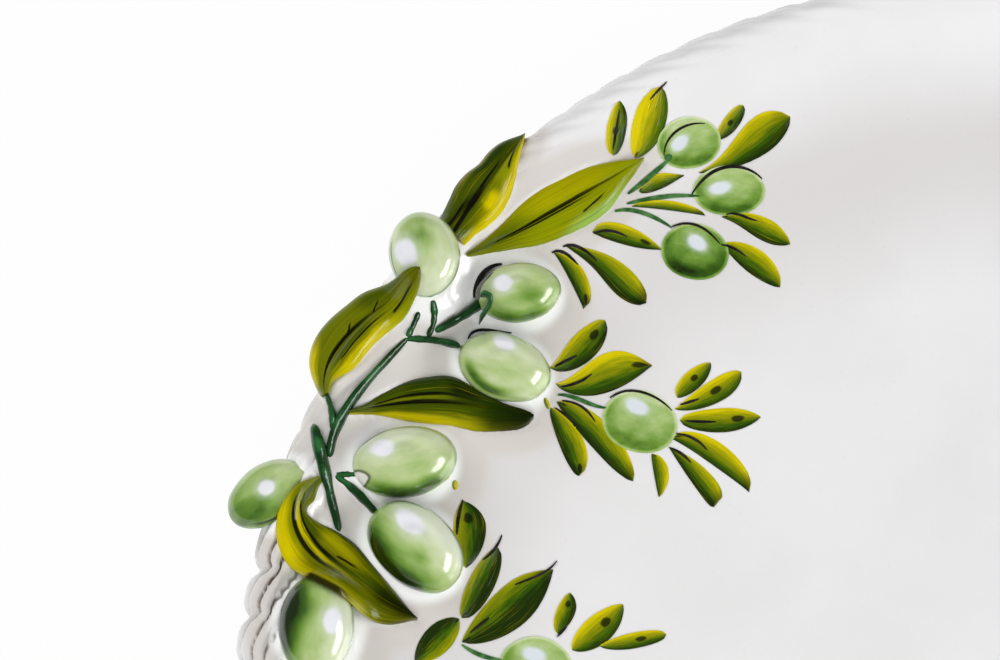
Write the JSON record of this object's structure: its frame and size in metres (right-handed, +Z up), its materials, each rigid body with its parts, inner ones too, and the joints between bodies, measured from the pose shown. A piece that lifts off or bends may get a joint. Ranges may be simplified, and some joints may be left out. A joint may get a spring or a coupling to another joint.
{
  "type": "olive dish",
  "caption": "Round shallow glazed earthenware serving dish on a foot ring, with a twisted rope edge and relief garlands of olives and leaves along two sides of the rim.",
  "frame": {"origin": "middle of the dish on the plane it stands on, under the foot ring", "axes": "+Z up out of the dish, X across the two relief garlands, Y across the two plain stretches of the rim"},
  "size_m": [0.3632, 0.36, 0.0386],
  "materials": {
    "white_glaze": "glossy white tin glaze",
    "olive_glaze": "glossy light green glaze, darker at the edges",
    "leaf_glaze": "glossy yellow and green glaze",
    "twig_glaze": "glossy dark green glaze"
  },
  "bodies": {
    "root": {"dish_body": "white_glaze", "foot_ring": "white_glaze", "rope_edge": "white_glaze", "left_far_branch": "twig_glaze", "left_near_branch": "twig_glaze", "right_far_branch": "twig_glaze", "right_near_branch": "twig_glaze", "left_far_olive_1": "olive_glaze", "left_far_olive_2": "olive_glaze", "left_far_olive_3": "olive_glaze", "left_far_olive_4": "olive_glaze", "left_far_olive_5": "olive_glaze", "left_far_olive_6": "olive_glaze", "left_far_olive_7": "olive_glaze", "left_near_olive_1": "olive_glaze", "left_near_olive_2": "olive_glaze", "left_near_olive_3": "olive_glaze", "left_near_olive_4": "olive_glaze", "left_near_olive_5": "olive_glaze", "left_near_olive_6": "olive_glaze", "left_near_olive_7": "olive_glaze", "right_far_olive_1": "olive_glaze", "right_far_olive_2": "olive_glaze", "right_far_olive_3": "olive_glaze", "right_far_olive_4": "olive_glaze", "right_far_olive_5": "olive_glaze", "right_far_olive_6": "olive_glaze", "right_far_olive_7": "olive_glaze", "right_near_olive_1": "olive_glaze", "right_near_olive_2": "olive_glaze", "right_near_olive_3": "olive_glaze", "right_near_olive_4": "olive_glaze", "right_near_olive_5": "olive_glaze", "right_near_olive_6": "olive_glaze", "right_near_olive_7": "olive_glaze", "left_far_leaf_1": "leaf_glaze", "left_far_leaf_2": "leaf_glaze", "left_far_leaf_3": "leaf_glaze", "left_far_leaf_4": "leaf_glaze", "left_far_leaf_5": "leaf_glaze", "left_near_leaf_1": "leaf_glaze", "left_near_leaf_2": "leaf_glaze", "left_near_leaf_3": "leaf_glaze", "left_near_leaf_4": "leaf_glaze", "left_near_leaf_5": "leaf_glaze", "right_far_leaf_1": "leaf_glaze", "right_far_leaf_2": "leaf_glaze", "right_far_leaf_3": "leaf_glaze", "right_far_leaf_4": "leaf_glaze", "right_far_leaf_5": "leaf_glaze", "right_near_leaf_1": "leaf_glaze", "right_near_leaf_2": "leaf_glaze", "right_near_leaf_3": "leaf_glaze", "right_near_leaf_4": "leaf_glaze", "right_near_leaf_5": "leaf_glaze"}
  },
  "joints": []
}
